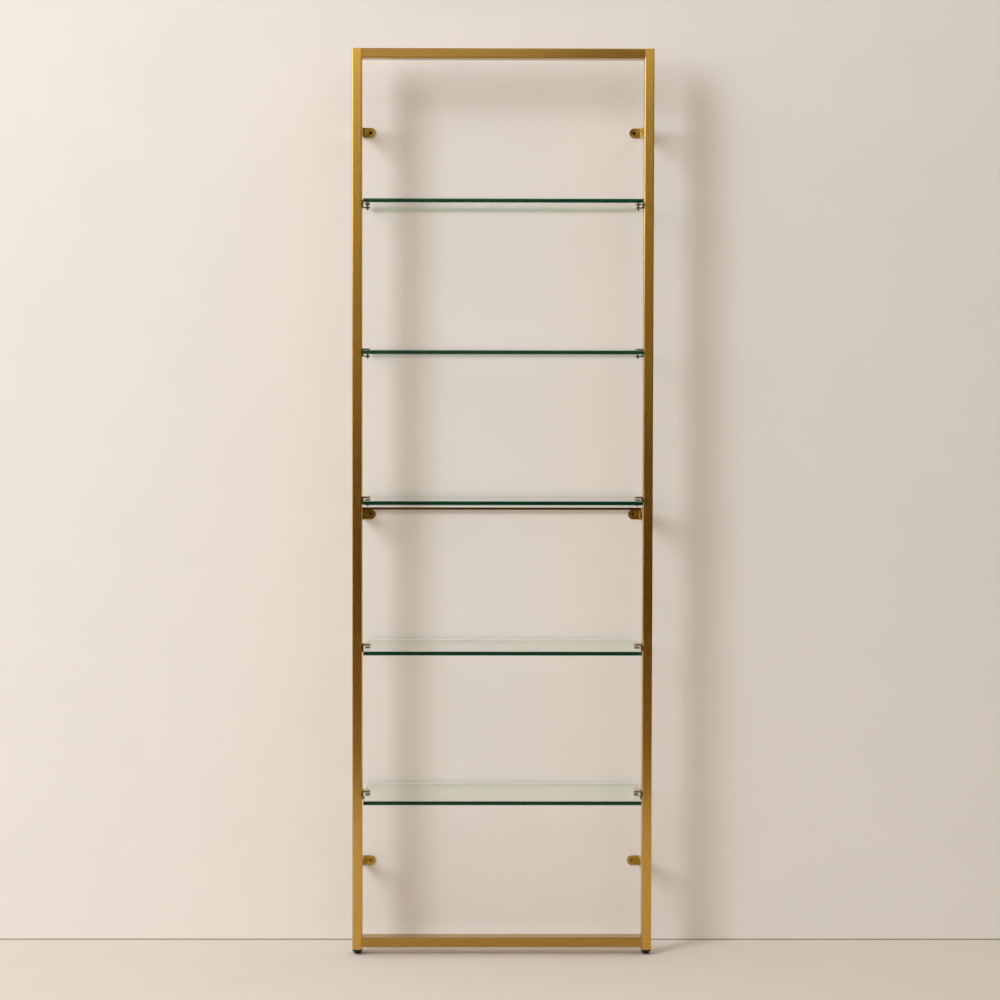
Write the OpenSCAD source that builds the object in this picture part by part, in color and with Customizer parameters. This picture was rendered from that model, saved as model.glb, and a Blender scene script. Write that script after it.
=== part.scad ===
// Wall bookshelf: a slim frame of rectangular tube with glass shelves in bent clamps.
// It stands on two levelling feet and is screwed to the wall through six bent brackets.
// Millimetres. X runs to the right, Y towards the wall, Z up.
// The origin is on the floor, in the middle of the overall width and depth.

/* [Frame] */
// Overall width across the uprights
frame_w = 762; // [600:1:1200]
// Height of the frame's top above the floor
frame_top = 2300; // [2150:1:2500]
// Height of the uprights' lower ends above the floor
upright_lift = 14; // [14:0.5:24]
// Height of the bottom rail above the uprights' lower ends
rail_lift = 6; // [0:1:60]
// Tube width, seen from the front
tube_w = 25; // [22:1:32]
// Tube depth, front to back
tube_d = 50; // [40:1:80]
// Thickness of the tube's wall
tube_wall = 2; // [1.5:0.1:3]
// Radius of the tube's outside corners
tube_r = 3; // [2:0.1:5]
// Radius of the tube's inside corners
tube_inner_r = 1; // [0.5:0.1:3]
// Thickness of the plates that close the uprights' tops
cap_t = 3; // [2:0.5:6]

/* [Glass shelves] */
// Height of the middle shelf's centre above the floor
middle_shelf_z = 1160; // [1120:1:1180]
// Height from one shelf to the next
shelf_pitch = 375; // [300:1:440]
// Depth of the glass, front to back
glass_d = 305; // [200:1:380]
// Thickness of the glass
glass_t = 10; // [8:0.5:12]
// Gap between each end of the glass and the upright
glass_end_gap = 8.5; // [6:0.1:11]
// Bevel along the upper and lower edges of the glass
glass_bevel = 0.8; // [0.3:0.1:1.5]
// Bevel across the corners of the glass, seen from above
glass_corner = 1.5; // [0.5:0.1:5]
// Gap between the back edge of the glass and the wall
wall_gap = 12.5; // [8:0.5:40]

/* [Glass clamps] */
// Width of the clamp's strip, front to back
clamp_w = 40; // [24:1:44]
// Thickness of the clamp's strip
clamp_t = 3; // [3:0.1:4]
// Reach of the jaws from the upright
clamp_reach = 20; // [19:0.5:30]
// Outside radius of the clamp's bends
clamp_bend_r = 3.5; // [2:0.1:5]
// Inside radius of the clamp's bends
clamp_inner_r = 0.5; // [0.3:0.1:2]
// Radius of the jaws' corners, seen from above
jaw_corner_r = 2; // [0.5:0.1:5]
// Thickness of the soft pad above the glass
pad_t = 2; // [1:0.1:4]
// Distance from the upright to the pad
pad_start = 4; // [4:0.1:6]
// Distance from the pad's free edges to the jaw's edges
pad_inset = 0.5; // [0.2:0.1:3]
// Gap between the glass and the lower jaw
screw_gap = 3; // [2:0.1:6]
// Distance from the upright to the set screw's axis
set_screw_x = 13.5; // [12.5:0.1:14.5]
// Diameter of the set screw
set_screw_dia = 6; // [4:0.5:6]
// Length of the set screw
set_screw_len = 10; // [10:0.5:16]

/* [Clamp fixings] */
// Diameter of the countersunk fixing screw
fixing_dia = 5; // [4:0.5:5]
// Diameter of the fixing screw's head
fixing_head_dia = 10; // [8:0.5:10]
// Length of the fixing screw with its head
fixing_len = 16; // [12:1:18]
// Outside diameter of the rivet nut
rivet_dia = 7; // [7:0.5:8]
// Length of the rivet nut
rivet_len = 12; // [9:0.5:14]
// Diameter of the rivet nut's flange
rivet_flange_dia = 9; // [9:0.5:10]
// Thickness of the rivet nut's flange
rivet_flange_t = 0.6; // [0.4:0.1:1]
// Diameter of the bulge set behind the tube's wall
rivet_bulge_dia = 10; // [9:0.5:11]
// Length of that bulge
rivet_bulge_len = 3; // [2:0.5:4]

/* [Wall brackets] */
// Height of the bracket's strip
bracket_h = 25; // [20:1:36]
// Thickness of the bracket's strip
bracket_t = 3; // [3:0.1:5]
// Inside radius of the bracket's bend
bracket_bend_r = 2; // [1:0.1:5]
// Distance from the upright's inner face to the bracket's hole
bracket_hole_x = 15; // [12:0.5:40]
// Diameter of the bracket's hole
bracket_hole_dia = 5.5; // [4.5:0.1:6]
// Diameter of the hole's countersink
bracket_sink_dia = 10; // [8:0.1:10]
// Distance from the frame's top to the top brackets' centre
top_bracket_drop = 196; // [40:1:220]
// Distance from the middle shelf's centre down to the middle brackets' centre
middle_bracket_drop = 44; // [36:1:200]
// Height of the bottom brackets' centre above the floor
bottom_bracket_z = 210; // [60:1:230]
// Thickness of the square tie bar on the middle brackets
tie_bar_t = 6; // [4:0.5:8]
// Distance from the tie bar to the wall
tie_bar_gap = 12; // [9:0.5:30]

/* [Feet] */
// Thickness of the plug's flange under the tube
plug_flange_t = 3; // [2:0.5:4]
// Height of the plug inside the tube
plug_h = 20; // [16:1:40]
// Gap between the plug's core and the tube's inside
plug_core_gap = 0.8; // [0.4:0.1:1.5]
// Thickness of each of the plug's gripping fins
plug_fin_t = 1.2; // [0.8:0.1:2]
// Distance from one gripping fin to the next
plug_fin_pitch = 5; // [3:0.5:7]
// Depth of the hollows moulded into the plug
plug_hollow_h = 15; // [8:1:15]
// Length of each hollow, front to back
plug_hollow_d = 9; // [5:0.5:9]
// Thickness of the plug's wall around the hollows
plug_wall = 2; // [1.5:0.1:3]
// Diameter of the levelling stem
stem_dia = 8; // [6:1:8]
// Length of the levelling stem
stem_len = 42; // [36:1:80]
// Width of the foot nut across its flats
nut_flats = 13; // [12:1:13]
// Height of the foot nut
nut_h = 6.5; // [5:0.5:8]
// Gap between the glide and the plug's flange
glide_gap = 0.5; // [0.3:0.1:0.8]
// Diameter of the glide just above its rounded lower edge
glide_low_dia = 19; // [16:0.5:22]
// Radius of the glide's rounded lower edge
glide_edge_r = 3; // [1:0.1:4]
// Largest diameter of the glide, near its top
glide_dia = 24; // [22:0.5:24.5]
// Bevel on the glide's upper edge
glide_bevel = 1; // [0.5:0.1:1.5]
// Thickness of the glide under the stem
glide_base_t = 4; // [3:0.5:5]

/* [View] */
// The piece to show, or all of them

/* [Hidden] */

$fn = 64;
left = -1;
right = 1;
brass = [0.69, 0.52, 0.25];
glass = [0.55, 0.75, 0.66, 0.45];
steel = [0.55, 0.55, 0.56];
black = [0.1, 0.09, 0.08];
grey = [0.6, 0.6, 0.58];

// The frame's tubes and the glass share this plane, in front of the origin.
mid_y = -wall_gap / 2;
wall_y = mid_y + glass_d / 2 + wall_gap;
inner_x = frame_w / 2 - tube_w;
upright_x = frame_w / 2 - tube_w / 2;
shelf_z = [for (n = [2 : -1 : -2]) middle_shelf_z + n * shelf_pitch];
bracket_z = [
    frame_top - top_bracket_drop,
    middle_shelf_z - middle_bracket_drop,
    bottom_bracket_z
];

// Small gap between the glass and what holds it, so that the glass can slide out.
glass_play = 0.1;
// Gap around each thread and each screw's head.
thread_play = 0.05;
hole_play = 0.25;

upper_jaw_z = glass_t / 2 + glass_play + pad_t;
lower_jaw_z = glass_t / 2 + screw_gap;
fixing_z = (upper_jaw_z - lower_jaw_z) / 2;
set_screw_socket = set_screw_dia / 2;
set_screw_socket_h = 3.5;
set_screw_bevel = 0.6;
fixing_head_h = (fixing_head_dia - fixing_dia) / 2;
fixing_socket = 3;
fixing_socket_h = 2;
plug_fins = 3;
tube_inner_w = tube_w - 2 * tube_wall;
tube_inner_d = tube_d - 2 * tube_wall;
arm_x = inner_x + tube_r;
bend_out_r = bracket_bend_r + bracket_t;
hole_x = inner_x - bracket_hole_x;
glide_top = upright_lift - plug_flange_t - glide_gap;
// How far the ground welds fill the grooves at the uprights' rounded edges.
weld_share = 0.8;
weld_reach = weld_share * tube_r;
nut_pocket_h = nut_h + 0.1;

// Extra length so that cuts pass right through.
cut = 1;

// Draws a right-hand piece, or its mirror image on the left.
module on_side(side) {
    if (side == left)
        mirror([1, 0, 0])
            children();
    else
        children();
}

module rounded_rect(w, d, r) {
    square([w - 2 * r, d], center = true);
    square([w, d - 2 * r], center = true);
    for (x = [-1, 1], y = [-1, 1])
        translate([x * (w / 2 - r), y * (d / 2 - r)])
            circle(r = r);
}

module bevelled_rect(w, d, bevel) {
    x = w / 2;
    y = d / 2;
    polygon([
        [bevel - x, -y], [x - bevel, -y], [x, bevel - y], [x, y - bevel],
        [x - bevel, y], [bevel - x, y], [-x, y - bevel], [-x, bevel - y]
    ]);
}

// Rectangular tube standing on the XY plane.
module tube(length) {
    linear_extrude(length)
        difference() {
            rounded_rect(tube_w, tube_d, tube_r);
            rounded_rect(tube_inner_w, tube_inner_d, tube_inner_r);
        }
}

module upright(side) {
    color(brass)
        on_side(side)
            difference() {
                translate([upright_x, mid_y, upright_lift])
                    tube(frame_top - upright_lift);
                for (z = shelf_z)
                    translate([inner_x, mid_y, z + fixing_z])
                        rotate([0, 90, 0])
                            rivet_hole();
            }
}

// Hole for a rivet nut, with a shallow seat for its flange.
module rivet_hole() {
    translate([0, 0, -cut])
        cylinder(d = rivet_dia + 2 * thread_play, h = tube_wall + 2 * cut);
    translate([0, 0, -cut])
        cylinder(d = rivet_flange_dia + 2 * thread_play, h = rivet_flange_t + cut);
}

// Rail coped round the uprights' rounded edges, where its welds are ground flush.
module rail(z) {
    rail_end = inner_x + weld_reach;
    color(brass)
        difference() {
            translate([-rail_end, mid_y, z + tube_w / 2])
                rotate([0, 90, 0])
                    tube(2 * rail_end);
            for (side = [left, right])
                on_side(side)
                    translate([upright_x, mid_y, z - cut])
                        linear_extrude(tube_w + 2 * cut)
                            rounded_rect(tube_w, tube_d, tube_r);
        }
}

// Plate welded inside the top of an upright, flush with its end.
module upright_cap(side) {
    color(brass)
        on_side(side)
            translate([upright_x, mid_y, frame_top - cap_t])
                linear_extrude(cap_t)
                    rounded_rect(tube_inner_w, tube_inner_d, tube_inner_r);
}

// Strip on edge from the upright to the wall, bent inwards into a round-ended tab.
module wall_bracket(side, z) {
    arm_start = mid_y + tube_d / 2;
    arm_len = wall_y - bend_out_r - arm_start;
    bend_x = arm_x - bracket_bend_r;
    color(brass)
        on_side(side)
            difference() {
                union() {
                    translate([arm_x, arm_start, z - bracket_h / 2])
                        cube([bracket_t, arm_len, bracket_h]);
                    translate([bend_x, wall_y - bend_out_r, z - bracket_h / 2])
                        bracket_bend();
                    translate([hole_x, wall_y - bracket_t, z - bracket_h / 2])
                        cube([bend_x - hole_x, bracket_t, bracket_h]);
                    translate([hole_x, wall_y, z])
                        rotate([90, 0, 0])
                            cylinder(d = bracket_h, h = bracket_t);
                }
                translate([hole_x, wall_y, z])
                    rotate([90, 0, 0])
                        bracket_hole();
            }
}

// Quarter ring that joins the bracket's arm to its tab.
module bracket_bend() {
    rotate_extrude(angle = 90)
        translate([bracket_bend_r, 0])
            square([bracket_t, bracket_h]);
}

// Screw hole with its countersink on the side away from the wall.
module bracket_hole() {
    sink_h = (bracket_sink_dia - bracket_hole_dia) / 2;
    translate([0, 0, -cut])
        cylinder(d = bracket_hole_dia, h = bracket_t + 2 * cut);
    translate([0, 0, bracket_t - sink_h])
        cylinder(d1 = bracket_hole_dia, d2 = bracket_sink_dia, h = sink_h);
}

// Square bar that lies on the two middle brackets' arms.
module tie_bar() {
    bar_x = arm_x + bracket_t;
    color(brass)
        translate([-bar_x, wall_y - tie_bar_gap - tie_bar_t, bracket_z[1] + bracket_h / 2])
            cube([2 * bar_x, tie_bar_t, tie_bar_t]);
}

// Glass shelf with bevelled edges, centred in the clamps.
module glass_shelf(n) {
    glass_w = 2 * (inner_x - glass_end_gap);
    color(glass)
        translate([0, mid_y, shelf_z[n - 1]])
            intersection() {
                rotate([90, 0, 90])
                    linear_extrude(glass_w, center = true)
                        bevelled_rect(glass_d, glass_t, glass_bevel);
                rotate([90, 0, 0])
                    linear_extrude(glass_d, center = true)
                        bevelled_rect(glass_w, glass_t, glass_bevel);
                linear_extrude(glass_t, center = true)
                    bevelled_rect(glass_w, glass_d, glass_corner);
            }
}

// Puts a piece of the right-hand clamp in place: X = 0 is the upright's inner face,
// -X points to the glass and Z = 0 is the middle of the glass.
module at_clamp(n, side) {
    on_side(side)
        translate([inner_x, mid_y, shelf_z[n - 1]])
            children();
}

// U bent from strip, screwed through its web to the upright.
module clamp(n, side) {
    color(brass)
        at_clamp(n, side)
            difference() {
                intersection() {
                    rotate([90, 0, 0])
                        linear_extrude(clamp_w, center = true)
                            clamp_profile();
                    translate([0, 0, -lower_jaw_z - clamp_t - cut])
                        linear_extrude(lower_jaw_z + upper_jaw_z + 2 * (clamp_t + cut))
                            jaw_plan();
                }
                translate([-clamp_t, 0, fixing_z])
                    rotate([0, 90, 0])
                        fixing_hole();
                translate([-set_screw_x, 0, -lower_jaw_z - clamp_t - cut])
                    cylinder(d = set_screw_dia + 2 * thread_play, h = clamp_t + 2 * cut);
            }
}

// The clamp's outline seen from the front: a web and two jaws with rounded bends.
module clamp_profile() {
    low = -lower_jaw_z - clamp_t;
    high = upper_jaw_z + clamp_t;
    difference() {
        union() {
            translate([-clamp_reach, low])
                square([clamp_reach - clamp_bend_r, high - low]);
            translate([-clamp_reach, low + clamp_bend_r])
                square([clamp_reach, high - low - 2 * clamp_bend_r]);
            for (z = [low + clamp_bend_r, high - clamp_bend_r])
                translate([-clamp_bend_r, z])
                    circle(r = clamp_bend_r);
        }
        translate([-clamp_reach - cut, -lower_jaw_z])
            square([clamp_reach + cut - clamp_t - clamp_inner_r, upper_jaw_z + lower_jaw_z]);
        translate([-clamp_reach - cut, clamp_inner_r - lower_jaw_z])
            square([clamp_reach + cut - clamp_t, upper_jaw_z + lower_jaw_z - 2 * clamp_inner_r]);
        for (z = [clamp_inner_r - lower_jaw_z, upper_jaw_z - clamp_inner_r])
            translate([-clamp_t - clamp_inner_r, z])
                circle(r = clamp_inner_r);
    }
}

// The jaws' outline seen from above, with rounded free corners.
module jaw_plan() {
    translate([jaw_corner_r - clamp_reach, -clamp_w / 2])
        square([clamp_reach - jaw_corner_r, clamp_w]);
    translate([-clamp_reach, jaw_corner_r - clamp_w / 2])
        square([clamp_reach, clamp_w - 2 * jaw_corner_r]);
    for (y = [-1, 1])
        translate([jaw_corner_r - clamp_reach, y * (clamp_w / 2 - jaw_corner_r)])
            circle(r = jaw_corner_r);
}

// Countersunk hole through the clamp's web, opening at Z = 0.
module fixing_hole() {
    translate([0, 0, -cut])
        cylinder(d = fixing_dia + 2 * hole_play, h = clamp_t + 2 * cut);
    cylinder(
        d1 = fixing_head_dia + 2 * hole_play,
        d2 = fixing_dia + 2 * hole_play,
        h = fixing_head_h
    );
    translate([0, 0, -cut])
        cylinder(d = fixing_head_dia + 2 * hole_play, h = cut);
}

// Soft pads under the upper jaws.
module pads(n) {
    pad_len = clamp_reach - pad_inset - pad_start;
    color(grey)
        for (side = [left, right])
            at_clamp(n, side)
                translate([-pad_start - pad_len, pad_inset - clamp_w / 2, upper_jaw_z - pad_t])
                    cube([pad_len, clamp_w - 2 * pad_inset, pad_t]);
}

// Headless screws with a hexagon socket, up through the lower jaws.
module set_screws(n) {
    top = -glass_t / 2 - glass_play;
    tip_d = set_screw_dia - 2 * set_screw_bevel;
    color(steel)
        for (side = [left, right])
            at_clamp(n, side)
                translate([-set_screw_x, 0, top - set_screw_len])
                    difference() {
                        union() {
                            cylinder(d1 = tip_d, d2 = set_screw_dia, h = set_screw_bevel);
                            translate([0, 0, set_screw_bevel])
                                cylinder(d = set_screw_dia, h = set_screw_len - 2 * set_screw_bevel);
                            translate([0, 0, set_screw_len - set_screw_bevel])
                                cylinder(d1 = set_screw_dia, d2 = tip_d, h = set_screw_bevel);
                        }
                        translate([0, 0, -cut])
                            hexagon(set_screw_socket, set_screw_socket_h + cut);
                    }
}

// Hexagonal prism measured across its flats.
module hexagon(flats, h) {
    cylinder(d = flats / cos(30), h = h, $fn = 6);
}

// Countersunk screws through the clamps' webs into the rivet nuts.
module fixing_screws(n) {
    color(steel)
        for (side = [left, right])
            at_clamp(n, side)
                translate([-clamp_t, 0, fixing_z])
                    rotate([0, 90, 0])
                        difference() {
                            union() {
                                translate([0, 0, hole_play])
                                    cylinder(d1 = fixing_head_dia, d2 = fixing_dia, h = fixing_head_h);
                                translate([0, 0, hole_play + fixing_head_h])
                                    cylinder(d = fixing_dia, h = fixing_len - fixing_head_h);
                            }
                            translate([0, 0, hole_play - cut])
                                hexagon(fixing_socket, fixing_socket_h + cut);
                        }
}

// Rivet nuts set in the uprights' inner walls.
module rivet_nuts(n) {
    color(steel)
        for (side = [left, right])
            at_clamp(n, side)
                translate([0, 0, fixing_z])
                    rotate([0, 90, 0])
                        difference() {
                            union() {
                                cylinder(d = rivet_flange_dia, h = rivet_flange_t);
                                cylinder(d = rivet_dia, h = rivet_len);
                                translate([0, 0, tube_wall])
                                    cylinder(d = rivet_bulge_dia, h = rivet_bulge_len);
                            }
                            translate([0, 0, -cut])
                                cylinder(d = fixing_dia + 2 * thread_play, h = rivet_len + 2 * cut);
                        }
}

// Puts a foot's piece under the right-hand upright, with Z = 0 at the tube's end.
module at_foot(side) {
    on_side(side)
        translate([upright_x, mid_y, upright_lift])
            children();
}

// Nylon plug with a flange, gripping fins, two hollows and a pocket for the nut.
module foot_plug(side) {
    core_w = tube_inner_w - 2 * plug_core_gap;
    core_d = tube_inner_d - 2 * plug_core_gap;
    hollow_y = core_d / 2 - plug_wall - plug_hollow_d / 2;
    color(black)
        at_foot(side)
            difference() {
                union() {
                    translate([0, 0, -plug_flange_t])
                        linear_extrude(plug_flange_t)
                            rounded_rect(tube_w, tube_d, tube_r);
                    linear_extrude(plug_h)
                        rounded_rect(core_w, core_d, tube_inner_r);
                    for (n = [1 : plug_fins])
                        translate([0, 0, n * plug_fin_pitch])
                            linear_extrude(plug_fin_t)
                                rounded_rect(tube_inner_w, tube_inner_d, tube_inner_r);
                }
                for (y = [-1, 1])
                    translate([0, y * hollow_y, plug_h - plug_hollow_h])
                        linear_extrude(plug_hollow_h + cut)
                            square([core_w - 2 * plug_wall, plug_hollow_d], center = true);
                translate([0, 0, -plug_flange_t - cut])
                    cylinder(d = stem_dia + 2 * hole_play, h = plug_flange_t + plug_h + 2 * cut);
                translate([0, 0, plug_h - nut_pocket_h])
                    hexagon(nut_flats + 2 * thread_play, nut_pocket_h + cut);
            }
}

// Hexagon nut held in the plug.
module foot_nut(side) {
    color(steel)
        at_foot(side)
            translate([0, 0, plug_h - nut_pocket_h])
                difference() {
                    hexagon(nut_flats, nut_h);
                    translate([0, 0, -cut])
                        cylinder(d = stem_dia + 2 * thread_play, h = nut_h + 2 * cut);
                }
}

// Stud that is moulded into the glide and turns in the nut.
module levelling_stem(side) {
    color(steel)
        at_foot(side)
            translate([0, 0, glide_base_t - upright_lift])
                cylinder(d = stem_dia, h = stem_len);
}

// Tapered foot with a rounded lower edge, standing on the floor.
module levelling_glide(side) {
    color(black)
        at_foot(side)
            translate([0, 0, -upright_lift])
                difference() {
                    rotate_extrude()
                        glide_profile();
                    translate([0, 0, glide_base_t])
                        cylinder(d = stem_dia, h = glide_top);
                }
}

// Half of the glide's outline, from its axis outwards.
module glide_profile() {
    low_r = glide_low_dia / 2;
    high_r = glide_dia / 2;
    polygon([
        [0, 0],
        [low_r - glide_edge_r, 0],
        [low_r, glide_edge_r],
        [high_r, glide_top - glide_bevel],
        [high_r - glide_bevel, glide_top],
        [0, glide_top]
    ]);
    translate([low_r - glide_edge_r, glide_edge_r])
        circle(r = glide_edge_r);
}

upright(left);  // upright_left
upright(right);  // upright_right
rail(frame_top - tube_w);  // top_rail
rail(upright_lift + rail_lift);  // bottom_rail
upright_cap(left);  // upright_left_cap
upright_cap(right);  // upright_right_cap
wall_bracket(left, bracket_z[0]);  // top_left_wall_bracket
wall_bracket(right, bracket_z[0]);  // top_right_wall_bracket
wall_bracket(left, bracket_z[1]);  // middle_left_wall_bracket
wall_bracket(right, bracket_z[1]);  // middle_right_wall_bracket
wall_bracket(left, bracket_z[2]);  // bottom_left_wall_bracket
wall_bracket(right, bracket_z[2]);  // bottom_right_wall_bracket
tie_bar();  // middle_tie_bar
glass_shelf(1);  // shelf_1_glass
glass_shelf(2);  // shelf_2_glass
glass_shelf(3);  // shelf_3_glass
glass_shelf(4);  // shelf_4_glass
glass_shelf(5);  // shelf_5_glass
clamp(1, left);  // shelf_1_left_clamp
clamp(2, left);  // shelf_2_left_clamp
clamp(3, left);  // shelf_3_left_clamp
clamp(4, left);  // shelf_4_left_clamp
clamp(5, left);  // shelf_5_left_clamp
clamp(1, right);  // shelf_1_right_clamp
clamp(2, right);  // shelf_2_right_clamp
clamp(3, right);  // shelf_3_right_clamp
clamp(4, right);  // shelf_4_right_clamp
clamp(5, right);  // shelf_5_right_clamp
pads(1);  // shelf_1_pads
pads(2);  // shelf_2_pads
pads(3);  // shelf_3_pads
pads(4);  // shelf_4_pads
pads(5);  // shelf_5_pads
set_screws(1);  // shelf_1_set_screws
set_screws(2);  // shelf_2_set_screws
set_screws(3);  // shelf_3_set_screws
set_screws(4);  // shelf_4_set_screws
set_screws(5);  // shelf_5_set_screws
fixing_screws(1);  // shelf_1_fixing_screws
fixing_screws(2);  // shelf_2_fixing_screws
fixing_screws(3);  // shelf_3_fixing_screws
fixing_screws(4);  // shelf_4_fixing_screws
fixing_screws(5);  // shelf_5_fixing_screws
rivet_nuts(1);  // shelf_1_rivet_nuts
rivet_nuts(2);  // shelf_2_rivet_nuts
rivet_nuts(3);  // shelf_3_rivet_nuts
rivet_nuts(4);  // shelf_4_rivet_nuts
rivet_nuts(5);  // shelf_5_rivet_nuts
foot_plug(left);  // left_foot_plug
foot_plug(right);  // right_foot_plug
foot_nut(left);  // left_foot_nut
foot_nut(right);  // right_foot_nut
levelling_stem(left);  // left_levelling_stem
levelling_stem(right);  // right_levelling_stem
levelling_glide(left);  // left_levelling_glide
levelling_glide(right);  // right_levelling_glide
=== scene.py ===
import math

import bmesh
import bpy
from mathutils import Matrix, Vector


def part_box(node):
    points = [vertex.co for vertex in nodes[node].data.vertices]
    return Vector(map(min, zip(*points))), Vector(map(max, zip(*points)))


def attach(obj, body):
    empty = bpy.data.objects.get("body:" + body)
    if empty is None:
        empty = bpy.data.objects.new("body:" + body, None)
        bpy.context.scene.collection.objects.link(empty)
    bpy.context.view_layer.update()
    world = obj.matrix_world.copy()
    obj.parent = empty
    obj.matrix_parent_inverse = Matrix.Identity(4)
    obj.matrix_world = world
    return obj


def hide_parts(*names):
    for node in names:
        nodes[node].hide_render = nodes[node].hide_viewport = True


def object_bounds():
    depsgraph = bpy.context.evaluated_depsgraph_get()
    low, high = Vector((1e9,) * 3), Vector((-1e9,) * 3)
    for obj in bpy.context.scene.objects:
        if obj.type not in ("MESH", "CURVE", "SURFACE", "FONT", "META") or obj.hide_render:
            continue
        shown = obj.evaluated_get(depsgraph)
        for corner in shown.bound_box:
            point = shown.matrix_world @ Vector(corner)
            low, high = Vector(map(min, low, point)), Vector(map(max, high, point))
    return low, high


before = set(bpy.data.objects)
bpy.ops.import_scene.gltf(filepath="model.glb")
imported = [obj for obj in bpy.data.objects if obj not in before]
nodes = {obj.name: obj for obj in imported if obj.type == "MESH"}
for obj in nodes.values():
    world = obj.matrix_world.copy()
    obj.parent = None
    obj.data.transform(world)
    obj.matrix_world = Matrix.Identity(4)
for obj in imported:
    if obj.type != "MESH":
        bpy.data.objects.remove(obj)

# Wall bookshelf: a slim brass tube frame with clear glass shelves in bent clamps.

cad_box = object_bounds()


# Frame: two uprights and two rails of rectangular tube, butt welded and ground flush,
# with a plate welded in the top of each upright. The whole frame has a satin brass
# surface, brushed along each tube and lacquered. The rails' brass is drawn a little darker
# than the uprights', as painted shade for the duller light that they mirror.

UPRIGHT_BRASS = "#D3A850"
UPRIGHT_BRASS_DEEP = "#D0A44C"
# Painted shade: the rails' brass is a little darker than the uprights', for the duller light they
# mirror.
RAIL_BRASS_SHADED = "#BD9443"
RAIL_BRASS_DEEP_SHADED = "#B99040"
FRAME_ROUGHNESS = 0.25
FRAME_LACQUER = 0.45
LACQUER_ROUGHNESS = 0.15
LACQUER_IOR = 1.5
BRUSH_LINE_MM = 0.4
BRUSH_LINE_LENGTH_MM = 60
BRUSH_DEPTH_MM = 0.05
BRUSH_STRENGTH = 0.1
BRUSH_ANISOTROPY = 0.8
BRUSH_NOISE_RANGE = (0.3, 0.7)
BRUSH_ROUGHNESS_RANGE = (-0.04, 0.05)
TONE_STREAK_MM = 14
TONE_STREAK_LENGTH_MM = 700
TONE_STREAK_RANGE = (0.35, 0.65)
SHEARED_EDGE_FACING = 0.9


def linear(hex_colour):
    """The linear RGBA of an sRGB hex colour."""
    value = int(hex_colour.lstrip("#"), 16)
    channels = [(value >> shift & 255) / 255 for shift in (16, 8, 0)]
    return [c / 12.92 if c <= 0.04045 else ((c + 0.055) / 1.055) ** 2.4 for c in channels] + [1.0]


def add(tree, kind, inputs=None, **settings):
    """Adds a node, applies its settings, and fills or links its inputs."""
    node = tree.nodes.new(kind)
    for name, value in settings.items():
        setattr(node, name, value)
    for name, value in (inputs or {}).items():
        if isinstance(value, bpy.types.NodeSocket):
            tree.links.new(value, node.inputs[name])
        else:
            node.inputs[name].default_value = value
    return node


def new_material(name):
    """An empty material, with its node tree, output and object coordinates."""
    material = bpy.data.materials.new(name)
    material.use_nodes = True
    tree = material.node_tree
    tree.nodes.clear()
    output = add(tree, "ShaderNodeOutputMaterial")
    place = add(tree, "ShaderNodeTexCoord").outputs["Object"]
    return material, tree, output, place


def stretched_noise(tree, place, grain, width_mm, length_mm, detail):
    """Noise drawn width_mm wide, and length_mm long along the axis grain."""
    scale = [1000 / width_mm] * 3
    scale[grain] = 1000 / length_mm
    sized = add(tree, "ShaderNodeMapping", {"Vector": place, "Scale": scale})
    noise = add(tree, "ShaderNodeTexNoise", {
        "Vector": sized.outputs["Vector"], "Scale": 1.0, "Detail": detail})
    return noise.outputs["Fac"]


def size_of_normal(tree, axis):
    """How far a face of the piece looks along an axis of the piece, from 0 to 1."""
    facing = add(tree, "ShaderNodeNewGeometry").outputs["True Normal"]
    turned = add(tree, "ShaderNodeVectorTransform", {"Vector": facing},
                 vector_type="NORMAL", convert_from="WORLD", convert_to="OBJECT")
    parts = add(tree, "ShaderNodeSeparateXYZ", {"Vector": turned.outputs["Vector"]})
    return add(tree, "ShaderNodeMath", {0: parts.outputs[axis]}, operation="ABSOLUTE").outputs[0]


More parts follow.
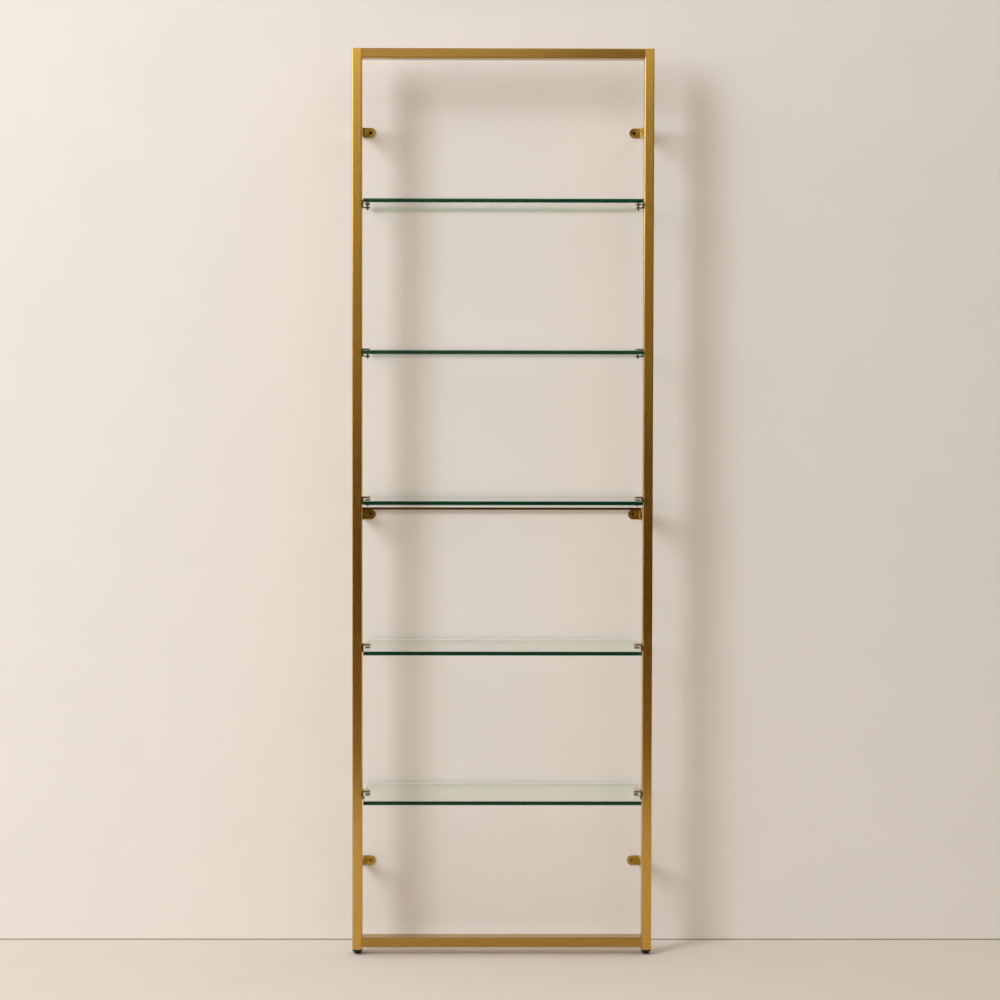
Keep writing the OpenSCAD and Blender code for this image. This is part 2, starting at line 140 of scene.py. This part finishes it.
def brushed_brass(name, grain, colour, deep, roughness, lacquer=0.0, cut_edge=None):
    """Satin brass, brushed along the axis grain (0, 1 or 2) and lacquered.

    The eye sees a soft sheen, with the room drawn out across the brush lines, and faint
    long streaks of tone. The lacquer adds a thin clearer gloss on top. Where cut_edge is
    given, the faces that look to the front and back, the strip's sheared edges, take that
    darker colour.
    """
    material, tree, output, place = new_material(name)
    # Real brush lines are under 0.1 mm wide, too fine to show: these are drawn coarser.
    brush = stretched_noise(tree, place, grain, BRUSH_LINE_MM, BRUSH_LINE_LENGTH_MM, 3.0)
    streaks = stretched_noise(tree, place, grain, TONE_STREAK_MM, TONE_STREAK_LENGTH_MM, 2.0)
    streak = add(tree, "ShaderNodeMapRange", {
        "Value": streaks, "From Min": TONE_STREAK_RANGE[0], "From Max": TONE_STREAK_RANGE[1]})
    base = add(tree, "ShaderNodeMixRGB", {
        "Fac": streak.outputs["Result"], "Color1": linear(deep), "Color2": linear(colour)})
    if cut_edge:
        is_cut = add(tree, "ShaderNodeMath", {
            0: size_of_normal(tree, "Y"), 1: SHEARED_EDGE_FACING}, operation="GREATER_THAN")
        base = add(tree, "ShaderNodeMixRGB", {
            "Fac": is_cut.outputs["Value"], "Color1": base.outputs["Color"],
            "Color2": linear(cut_edge)})
    rough = add(tree, "ShaderNodeMapRange", {
        "Value": brush, "From Min": BRUSH_NOISE_RANGE[0], "From Max": BRUSH_NOISE_RANGE[1],
        "To Min": roughness + BRUSH_ROUGHNESS_RANGE[0],
        "To Max": roughness + BRUSH_ROUGHNESS_RANGE[1]})
    relief = add(tree, "ShaderNodeBump", {
        "Height": brush, "Strength": BRUSH_STRENGTH, "Distance": BRUSH_DEPTH_MM / 1000})
    across = add(tree, "ShaderNodeTangent", direction_type="RADIAL", axis="XYZ"[grain])
    surface = add(tree, "ShaderNodeBsdfPrincipled", {
        "Base Color": base.outputs["Color"], "Metallic": 1.0,
        "Roughness": rough.outputs["Result"],
        "Anisotropic": BRUSH_ANISOTROPY, "Tangent": across.outputs["Tangent"],
        "Normal": relief.outputs["Normal"], "Coat Weight": lacquer,
        "Coat Roughness": LACQUER_ROUGHNESS, "Coat IOR": LACQUER_IOR})
    tree.links.new(surface.outputs["BSDF"], output.inputs["Surface"])
    return material


def finish_nodes(names, material):
    """Gives CAD nodes their real material."""
    for name in names:
        mesh = nodes[name].data
        mesh.materials.clear()
        mesh.materials.append(material)


upright_brass = brushed_brass(
    "satin_brass_upright_tube", 2, UPRIGHT_BRASS, UPRIGHT_BRASS_DEEP,
    FRAME_ROUGHNESS, FRAME_LACQUER)
# Painted shade: the rails take the darker brass.
rail_brass_shaded = brushed_brass(
    "satin_brass_rail_tube_shaded", 0, RAIL_BRASS_SHADED, RAIL_BRASS_DEEP_SHADED,
    FRAME_ROUGHNESS, FRAME_LACQUER)
finish_nodes(["upright_left", "upright_right", "upright_left_cap", "upright_right_cap"],
             upright_brass)
finish_nodes(["top_rail", "bottom_rail"], rail_brass_shaded)


# Wall brackets and tie bar: flat strip on edge, welded to the back of each upright, bent
# inwards at the wall and drilled and countersunk for a wall screw. A thin square bar lies
# on the two middle brackets. They have the frame's finish, a little smoother. The bar is
# brass like the rest, drawn dark brown as painted shade, for the shadow of the glass above
# it and the dim room it mirrors.

ARM_BRASS = "#BEA04A"
ARM_BRASS_DEEP = "#B39643"
# Painted shade: the tie bar's brass is drawn dark brown, for the glass's shadow and the dim room
# it mirrors.
BAR_BRASS_SHADED = "#80592A"
BAR_BRASS_DEEP_SHADED = "#745024"
ARM_ROUGHNESS = 0.18
BAR_ROUGHNESS = 0.22

arm_brass = brushed_brass(
    "satin_brass_bracket_strip", 1, ARM_BRASS, ARM_BRASS_DEEP, ARM_ROUGHNESS)
# Painted shade: the tie bar takes the dark brown brass.
bar_brass_shaded = brushed_brass(
    "brass_tie_bar_painted_shade", 0, BAR_BRASS_SHADED, BAR_BRASS_DEEP_SHADED, BAR_ROUGHNESS)
finish_nodes([
    f"{height}_{side}_wall_bracket"
    for height in ("top", "middle", "bottom") for side in ("left", "right")], arm_brass)
finish_nodes(["middle_tie_bar"], bar_brass_shaded)


# Glass shelves: 10 mm clear float glass, cut to size, with polished edges and a fine ground
# bevel round both faces. The iron in it hardly tints what is seen through its thickness,
# but looking in at an edge the eye looks along the whole pane, so the edges are deep green.

GLASS_FACE = "#E8F5EC"
GLASS_EDGE = "#02442F"
GLASS_SHADE = "#FEFEFE"
GLASS_EDGE_SHADE = "#6E9C89"
GLASS_IOR = 1.52
BEVEL_ROUGHNESS = 0.6
BEVEL_FACING = 0.5
PANE_FACING = 0.9

# Clear and glossy on its faces, dark at its edges, with a pale dull line along each bevel.
float_glass, tree, output, place = new_material("clear_float_glass")
flatness = size_of_normal(tree, "Z")
is_face = add(tree, "ShaderNodeMath", {0: flatness, 1: BEVEL_FACING}, operation="GREATER_THAN")
is_pane = add(tree, "ShaderNodeMath", {0: flatness, 1: PANE_FACING}, operation="GREATER_THAN")
is_bevel = add(tree, "ShaderNodeMath", {
    0: is_face.outputs["Value"], 1: is_pane.outputs["Value"]}, operation="SUBTRACT")
ground = add(tree, "ShaderNodeMath", {0: is_bevel.outputs["Value"], 1: BEVEL_ROUGHNESS},
             operation="MULTIPLY")
tint = add(tree, "ShaderNodeMixRGB", {
    "Fac": is_face.outputs["Value"], "Color1": linear(GLASS_EDGE), "Color2": linear(GLASS_FACE)})
glass = add(tree, "ShaderNodeBsdfPrincipled", {
    "Base Color": tint.outputs["Color"], "Roughness": ground.outputs["Value"],
    "IOR": GLASS_IOR, "Transmission Weight": 1.0})
# Light on its way to the wall passes the panes straight, hardly dimmed, as in a real room.
dimming = add(tree, "ShaderNodeMixRGB", {
    "Fac": is_face.outputs["Value"], "Color1": linear(GLASS_EDGE_SHADE),
    "Color2": linear(GLASS_SHADE)})
shade = add(tree, "ShaderNodeBsdfTransparent", {"Color": dimming.outputs["Color"]})
rays = add(tree, "ShaderNodeLightPath")
passing = add(tree, "ShaderNodeMath", {
    0: rays.outputs["Is Shadow Ray"], 1: rays.outputs["Is Diffuse Ray"]}, operation="MAXIMUM")
pick = add(tree, "ShaderNodeMixShader", {"Fac": passing.outputs["Value"]})
tree.links.new(glass.outputs["BSDF"], pick.inputs[1])
tree.links.new(shade.outputs["BSDF"], pick.inputs[2])
tree.links.new(pick.outputs["Shader"], output.inputs["Surface"])
finish_nodes([f"shelf_{n}_glass" for n in range(1, 6)], float_glass)


# Glass clamps: a U sheared and bent from flat strip at each shelf end, with the frame's
# finish, screwed to the upright. A soft PVC pad sits under its upper jaw, on the glass.

CLAMP_BRASS = "#C6AA72"
CLAMP_BRASS_DEEP = "#BA9D66"
# The clamps' faces that look to the front and back are drawn in this darker colour.
CLAMP_EDGE = "#7C5F38"
PAD_TONE = "#BDAF96"
PAD_GRAIN_MM = 0.5
PAD_GRAIN_DEPTH_MM = 0.1
PAD_GRAIN_STRENGTH = 0.2
PAD_ROUGHNESS = 0.55
PAD_IOR = 1.5
CLAMP_ROUGHNESS = 0.18

clamp_brass = brushed_brass(
    "satin_brass_clamp_strip", 0, CLAMP_BRASS, CLAMP_BRASS_DEEP, CLAMP_ROUGHNESS,
    cut_edge=CLAMP_EDGE)
finish_nodes([
    f"shelf_{n}_{side}_clamp" for n in range(1, 6) for side in ("left", "right")], clamp_brass)

# Dull and pale, with the slight unevenness of a moulded strip. Its real grain is under
# a tenth of a millimetre, too fine to show, so this is drawn coarser.
soft_pvc, tree, output, place = new_material("soft_pvc_pad")
grain = add(tree, "ShaderNodeTexNoise", {
    "Vector": place, "Scale": 1000 / PAD_GRAIN_MM, "Detail": 2.0})
relief = add(tree, "ShaderNodeBump", {
    "Height": grain.outputs["Fac"], "Strength": PAD_GRAIN_STRENGTH,
    "Distance": PAD_GRAIN_DEPTH_MM / 1000})
pad = add(tree, "ShaderNodeBsdfPrincipled", {
    "Base Color": linear(PAD_TONE), "Roughness": PAD_ROUGHNESS, "IOR": PAD_IOR,
    "Normal": relief.outputs["Normal"]})
tree.links.new(pad.outputs["BSDF"], output.inputs["Surface"])
finish_nodes([f"shelf_{n}_pads" for n in range(1, 6)], soft_pvc)


# Screws and nuts: zinc plated steel, cold headed and rolled, dulled by its passivation. The
# fixing screws, rivet nuts and foot nuts keep their CAD shapes. The set screws and the
# levelling stems get real threads: M6 x 1 with a hexagon socket below, and M8 x 1.25.

STEEL_GREY = "#77736B"
STEEL_SPECKLE_MM = 1.1
STEEL_ROUGHNESS_RANGE = (0.32, 0.5)
THREAD_STEPS = 32
THREAD_DEPTH = 0.6134  # of a metric thread, as a share of its pitch
THREAD_ROOT_FLAT = 1 / 4
THREAD_CREST_START = 9 / 16
THREAD_CREST_END = 11 / 16
SET_SCREW_PITCH = 0.001
SET_SCREW_BEVEL = 0.0006
SOCKET_FLATS = 0.003
SOCKET_DEPTH = 0.0035
STEM_PITCH = 0.00125
STEM_BEVEL = 0.001

# A dull grey, shinier in some specks than in others, as plating on rolled steel is. Its
# real crystals are far finer: the specks are drawn as coarse as they need to show.
zinc, tree, output, place = new_material("zinc_plated_steel")
speckle = add(tree, "ShaderNodeTexNoise", {
    "Vector": place, "Scale": 1000 / STEEL_SPECKLE_MM, "Detail": 3.0})
rough = add(tree, "ShaderNodeMapRange", {
    "Value": speckle.outputs["Fac"], "To Min": STEEL_ROUGHNESS_RANGE[0],
    "To Max": STEEL_ROUGHNESS_RANGE[1]})
steel = add(tree, "ShaderNodeBsdfPrincipled", {
    "Base Color": linear(STEEL_GREY), "Metallic": 1.0, "Roughness": rough.outputs["Result"]})
tree.links.new(steel.outputs["BSDF"], output.inputs["Surface"])
finish_nodes(
    [f"shelf_{n}_{piece}" for n in range(1, 6) for piece in ("fixing_screws", "rivet_nuts")]
    + ["left_foot_nut", "right_foot_nut"], zinc)


def threaded_rod(shape, foot, radius, length, pitch, bevel, socket=False):
    """Adds an upright rod with a cut thread to shape, with a hexagon socket under it."""
    rod = bmesh.new()
    root = radius - THREAD_DEPTH * pitch
    turn = [(0, root), (THREAD_ROOT_FLAT, root),
            (THREAD_CREST_START, radius), (THREAD_CREST_END, radius)]
    turns = math.ceil(length / pitch) + 2
    points = [rod.verts.new((r, 0, (n + share - 1) * pitch))
              for n in range(turns) for share, r in turn]
    line = [rod.edges.new(pair) for pair in zip(points, points[1:])]
    # Each step of the spin rises a little, so one turn ends a pitch up, on the next ridge.
    bmesh.ops.spin(rod, geom=points + line, axis=(0, 0, 1), cent=(0, 0, 0), steps=THREAD_STEPS,
                   dvec=(0, 0, pitch / THREAD_STEPS), angle=2 * math.pi)
    bmesh.ops.remove_doubles(rod, verts=rod.verts, dist=pitch / 100)
    for end, up in ((0, -1), (length, 1)):
        bmesh.ops.bisect_plane(
            rod, geom=rod.verts[:] + rod.edges[:] + rod.faces[:], dist=pitch / 1000,
            plane_co=(0, 0, end), plane_no=(0, 0, up), clear_outer=True)
    bmesh.ops.remove_doubles(rod, verts=rod.verts, dist=pitch / 200)
    for vert in rod.verts:
        room = radius - bevel + min(vert.co.z, length - vert.co.z)
        reach = vert.co.xy.length
        if reach > room:
            vert.co.xy *= room / reach
    rim = [edge for edge in rod.edges if edge.is_boundary]
    lower = [edge for edge in rim if edge.verts[0].co.z < length / 2]
    bmesh.ops.contextual_create(rod, geom=[edge for edge in rim if edge not in lower])
    if socket:
        mouth = bmesh.ops.create_circle(
            rod, segments=6, radius=SOCKET_FLATS / math.sqrt(3))["verts"]
        mouth_edges = list({edge for vert in mouth for edge in vert.link_edges})
        walls = bmesh.ops.extrude_edge_only(rod, edges=mouth_edges)["geom"]
        floor = [item for item in walls if isinstance(item, bmesh.types.BMVert)]
        bmesh.ops.translate(rod, verts=floor, vec=(0, 0, SOCKET_DEPTH))
        bmesh.ops.contextual_create(rod, geom=floor)
        bmesh.ops.triangle_fill(rod, edges=lower + mouth_edges, use_beauty=True)
    else:
        bmesh.ops.contextual_create(rod, geom=lower)
    bmesh.ops.recalc_face_normals(rod, faces=rod.faces)
    bmesh.ops.translate(rod, verts=rod.verts, vec=foot)
    part = bpy.data.meshes.new("rod")
    rod.to_mesh(part)
    rod.free()
    shape.from_mesh(part)
    bpy.data.meshes.remove(part)


def steel_piece(name, shape, node, body):
    """Makes shape a zinc plated piece that rides on body in place of the node."""
    mesh = bpy.data.meshes.new(name)
    shape.to_mesh(mesh)
    shape.free()
    mesh.materials.append(zinc)
    piece = bpy.data.objects.new(name, mesh)
    bpy.context.scene.collection.objects.link(piece)
    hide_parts(node)
    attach(piece, body)


for n in range(1, 6):
    low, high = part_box(f"shelf_{n}_set_screws")
    radius = (high[1] - low[1]) / 2
    screws = bmesh.new()
    for x in (low[0] + radius, high[0] - radius):
        threaded_rod(screws, (x, low[1] + radius, low[2]), radius, high[2] - low[2],
                     SET_SCREW_PITCH, SET_SCREW_BEVEL, socket=True)
    steel_piece(f"shelf_{n}_threaded_set_screws", screws, f"shelf_{n}_set_screws", f"screws_{n}")

for side in ("left", "right"):
    low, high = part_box(f"{side}_levelling_stem")
    radius = (high[1] - low[1]) / 2
    stem = bmesh.new()
    threaded_rod(stem, (low[0] + radius, low[1] + radius, low[2]), radius, high[2] - low[2],
                 STEM_PITCH, STEM_BEVEL)
    steel_piece(f"{side}_threaded_levelling_stem", stem, f"{side}_levelling_stem", f"{side}_foot")


# Feet: a flanged plug in each upright and a tapered glide under it, moulded in black nylon
# in a spark eroded mould, which leaves a fine even grain and a low sheen.

NYLON_BLACK = "#17130F"
NYLON_ROUGHNESS = 0.48
NYLON_IOR = 1.53
SPARK_GRAIN_MM = 0.4
SPARK_GRAIN_DEPTH_MM = 0.05
SPARK_GRAIN_STRENGTH = 0.3

# Nearly matt black, with a low grey sheen where light grazes it. The real grain is about
# a tenth of a millimetre, too fine to show, so this is drawn coarser.
black_nylon, tree, output, place = new_material("moulded_black_nylon")
spark = add(tree, "ShaderNodeTexNoise", {
    "Vector": place, "Scale": 1000 / SPARK_GRAIN_MM, "Detail": 2.0})
relief = add(tree, "ShaderNodeBump", {
    "Height": spark.outputs["Fac"], "Strength": SPARK_GRAIN_STRENGTH,
    "Distance": SPARK_GRAIN_DEPTH_MM / 1000})
nylon = add(tree, "ShaderNodeBsdfPrincipled", {
    "Base Color": linear(NYLON_BLACK), "Roughness": NYLON_ROUGHNESS, "IOR": NYLON_IOR,
    "Normal": relief.outputs["Normal"]})
tree.links.new(nylon.outputs["BSDF"], output.inputs["Surface"])
finish_nodes([
    f"{side}_{piece}" for side in ("left", "right")
    for piece in ("foot_plug", "levelling_glide")], black_nylon)


# Room: a pale plastered wall behind and a pale floor, with a thin joint between them. A flat
# disc behind each bracket stands for a drilled hole: painted dark as the hole's shade at the
# top and middle brackets, and painted a lit brown at the bottom ones. Seen from behind, the
# wall lets the view through.

WALL_PAINT = "#F3EDE8"
FLOOR_PAINT = "#F2ECE4"
PAINT_MOTTLE_MM = 200
PAINT_MOTTLE_SHARE = 0.04
PAINT_ROUGHNESS = 0.9
PAINT_SPECULAR = 0.2
JOINT_SHADE = "#8E8272"
HOLE_SHADE = "#1C140C"
HOLE_LIT = "#8F6A3A"
ROOM_HALF_WIDTH = 6.0
ROOM_HEIGHT = 6.0
FLOOR_FRONT = -2.6
JOINT_HEIGHT = 0.0025
HOLE_RADIUS = 0.0027
HOLE_SIDES = 24
STAND_OFF = 0.0003
wall_y = cad_box[1][1]


def stage_piece(name, shape, paint, one_sided=False, seen=True):
    """Makes shape part of the stage, in a matt paint or in bands of paint by height.

    A one-sided piece is clear from behind. A piece that isn't seen is a card out of the
    picture, which only the light and the reflections meet.
    """
    mesh = bpy.data.meshes.new(name)
    shape.to_mesh(mesh)
    shape.free()
    stage = bpy.data.objects.new(name, mesh)
    bpy.context.scene.collection.objects.link(stage)
    stage.visible_camera = seen
    stage.visible_transmission = seen
    material, tree, output, place = new_material(name + "_paint")
    if isinstance(paint, str):
        mottle = add(tree, "ShaderNodeTexNoise", {
            "Vector": place, "Scale": 1000 / PAINT_MOTTLE_MM, "Detail": 4.0})
        colour = add(tree, "ShaderNodeMixRGB", {
            "Fac": PAINT_MOTTLE_SHARE, "Color1": linear(paint),
            "Color2": mottle.outputs["Fac"]},
            blend_type="MULTIPLY").outputs["Color"]
    else:
        top = paint[-1][0]
        height = add(tree, "ShaderNodeSeparateXYZ", {"Vector": place}).outputs["Z"]
        share = add(tree, "ShaderNodeMath", {0: height, 1: top}, operation="DIVIDE")
        bands = add(tree, "ShaderNodeValToRGB", {"Fac": share.outputs["Value"]})
        stops = bands.color_ramp.elements
        while len(stops) < len(paint):
            stops.new(0.5)
        for stop, (level, tone) in zip(stops, paint):
            stop.position = level / top
            stop.color = linear(tone)
        colour = bands.outputs["Color"]
    matt = add(tree, "ShaderNodeBsdfPrincipled", {
        "Base Color": colour, "Roughness": PAINT_ROUGHNESS,
        "Specular IOR Level": PAINT_SPECULAR})
    shader = matt.outputs["BSDF"]
    if one_sided:
        behind = add(tree, "ShaderNodeNewGeometry").outputs["Backfacing"]
        mix = add(tree, "ShaderNodeMixShader", {"Fac": behind})
        tree.links.new(shader, mix.inputs[1])
        tree.links.new(add(tree, "ShaderNodeBsdfTransparent").outputs["BSDF"], mix.inputs[2])
        shader = mix.outputs["Shader"]
    tree.links.new(shader, output.inputs["Surface"])
    mesh.materials.append(material)


def flat(*corners):
    """A shape of one face through the corners."""
    shape = bmesh.new()
    shape.faces.new([shape.verts.new(corner) for corner in corners])
    return shape


def upright_flat(start, end, high):
    """A vertical shape over the floor line from start to end."""
    return flat((*start, 0), (*end, 0), (*end, high), (*start, high))


stage_piece("room_wall", upright_flat(
    (-ROOM_HALF_WIDTH, wall_y), (ROOM_HALF_WIDTH, wall_y), ROOM_HEIGHT),
    WALL_PAINT, one_sided=True)
stage_piece("room_floor", flat(
    (-ROOM_HALF_WIDTH, FLOOR_FRONT, 0), (ROOM_HALF_WIDTH, FLOOR_FRONT, 0),
    (ROOM_HALF_WIDTH, wall_y, 0), (-ROOM_HALF_WIDTH, wall_y, 0)), FLOOR_PAINT)
joint_y = wall_y - STAND_OFF
stage_piece("room_joint", upright_flat(
    (-ROOM_HALF_WIDTH, joint_y), (ROOM_HALF_WIDTH, joint_y), JOINT_HEIGHT),
    JOINT_SHADE, one_sided=True)
# Painted shade: each hole is a flat disc, dark as shade at the top and middle, a lit brown at the
# bottom.
for height, shade in (("top", HOLE_SHADE), ("middle", HOLE_SHADE), ("bottom", HOLE_LIT)):
    for side, inwards in (("left", -1), ("right", 1)):
        low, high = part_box(f"{height}_{side}_wall_bracket")
        tab_radius = (high[2] - low[2]) / 2
        tip = high[0] if side == "left" else low[0]
        centre = Vector((tip + inwards * tab_radius, joint_y, low[2] + tab_radius))
        hole = bmesh.new()
        bmesh.ops.create_circle(
            hole, cap_ends=True, segments=HOLE_SIDES, radius=HOLE_RADIUS,
            matrix=Matrix.Translation(centre) @ Matrix.Rotation(math.pi / 2, 4, "X"))
        stage_piece(f"wall_hole_{height}_{side}", hole, shade, one_sided=True)


# Rest of the room, which the brass mirrors, as cards painted with its light and shade:
# its far end, painted dim at eye level and lighter above, and dimmer on its right half, away
# from the window, with a dim alcove high on the right, the floor in front of that, darker,
# and its right side painted dark as shade. They stand out of the picture.

FAR_END_Y = -9.0
FAR_END_HALF_WIDTH = 12.0
FAR_END_LEFT = [
    (0.0, "#846F49"), (0.9, "#806C47"), (1.4, "#CABA92"), (2.1, "#BCB292"),
    (2.8, "#CCCAB0"), (3.4, "#FBFFFA")]
# Painted shade: the right half of the far end is dimmer, away from the window.
FAR_END_RIGHT = [
    (0.0, "#66543A"), (0.9, "#665439"), (1.4, "#BAAA84"), (2.1, "#B2A586"),
    (2.8, "#C6BCA0"), (3.4, "#FFFAF0")]
ALCOVE = (0.4, 1.4)
ALCOVE_LOW = 2.4
ALCOVE_Y = FAR_END_Y + 0.1
ALCOVE_TONE = "#7A6E5A"
FAR_FLOOR_TONE = "#957953"
RIGHT_SIDE_TONE = "#2C241A"

stage_piece("room_far_end_left", upright_flat(
    (0, FAR_END_Y), (-FAR_END_HALF_WIDTH, FAR_END_Y), FAR_END_LEFT[-1][0]),
    FAR_END_LEFT, seen=False)
stage_piece("room_far_end_right", upright_flat(
    (FAR_END_HALF_WIDTH, FAR_END_Y), (0, FAR_END_Y), FAR_END_RIGHT[-1][0]),
    FAR_END_RIGHT, seen=False)
stage_piece("room_dark_alcove", flat(
    (ALCOVE[0], ALCOVE_Y, ALCOVE_LOW), (ALCOVE[1], ALCOVE_Y, ALCOVE_LOW),
    (ALCOVE[1], ALCOVE_Y, ROOM_HEIGHT), (ALCOVE[0], ALCOVE_Y, ROOM_HEIGHT)),
    ALCOVE_TONE, seen=False)
stage_piece("room_far_floor", flat(
    (-FAR_END_HALF_WIDTH, FAR_END_Y, 0), (FAR_END_HALF_WIDTH, FAR_END_Y, 0),
    (FAR_END_HALF_WIDTH, FLOOR_FRONT, 0), (-FAR_END_HALF_WIDTH, FLOOR_FRONT, 0)),
    FAR_FLOOR_TONE, seen=False)
stage_piece("room_right_side", upright_flat(
    (ROOM_HALF_WIDTH, wall_y), (ROOM_HALF_WIDTH, FAR_END_Y), ROOM_HEIGHT),
    RIGHT_SIDE_TONE, seen=False)


# Light: pale and even around the room and dimmer overhead, as from many pale walls, and
# one tall soft window high on the left, which gives the shadows on the wall.

SKY = "#FFF9F2"
SKY_OVERHEAD = "#968E82"
SKY_STRENGTH = 1.31
SKY_DIMS_FROM = 0.45
SKY_DIMS_TO = 0.8
WINDOW_PLACE = (-4.2, -4.75, 3.9)
WINDOW_AIM = (0, 0.1, 1.3)
WINDOW_WIDTH = 2.1
WINDOW_HEIGHT = 4.0
WINDOW_WATTS = 203
WINDOW_LIGHT = "#F4F9FF"

scene = bpy.context.scene
world = bpy.data.worlds.new("pale_room")
world.use_nodes = True
tree = world.node_tree
tree.nodes.clear()
looking = add(tree, "ShaderNodeTexCoord").outputs["Generated"]
rise = add(tree, "ShaderNodeSeparateXYZ", {"Vector": looking}).outputs["Z"]
overhead = add(tree, "ShaderNodeMapRange", {
    "Value": rise, "From Min": SKY_DIMS_FROM, "From Max": SKY_DIMS_TO})
tone = add(tree, "ShaderNodeMixRGB", {
    "Fac": overhead.outputs["Result"], "Color1": linear(SKY), "Color2": linear(SKY_OVERHEAD)})
sky = add(tree, "ShaderNodeBackground", {
    "Color": tone.outputs["Color"], "Strength": SKY_STRENGTH})
add(tree, "ShaderNodeOutputWorld", {"Surface": sky.outputs["Background"]})
scene.world = world

window = bpy.data.lights.new("window_lamp", "AREA")
window.shape = "RECTANGLE"
window.size = WINDOW_WIDTH
window.size_y = WINDOW_HEIGHT
window.energy = WINDOW_WATTS
window.color = linear(WINDOW_LIGHT)[:3]
holder = bpy.data.objects.new("window_lamp", window)
holder.location = WINDOW_PLACE
aim = Vector(WINDOW_AIM) - Vector(WINDOW_PLACE)
holder.rotation_euler = aim.to_track_quat("-Z", "Y").to_euler()
scene.collection.objects.link(holder)


# Camera: about two thirds of the way up the unit, looking a little down, and far enough
# away for a long lens.

CAMERA_PLACE = (-0.055, -6.86145, 1.4847)
CAMERA_TURN = (87.689, -0.0949, -0.4032)
CAMERA_LENS = 97.2
CAMERA_SENSOR = 36
CAMERA_RISE = -0.0185

camera = bpy.data.cameras.new("camera")
camera.sensor_width = CAMERA_SENSOR
camera.lens = CAMERA_LENS
camera.shift_y = CAMERA_RISE
holder = bpy.data.objects.new("camera", camera)
holder.location = CAMERA_PLACE
holder.rotation_euler = [math.radians(angle) for angle in CAMERA_TURN]
scene.collection.objects.link(holder)
scene.camera = holder
scene.view_settings.view_transform = "Standard"
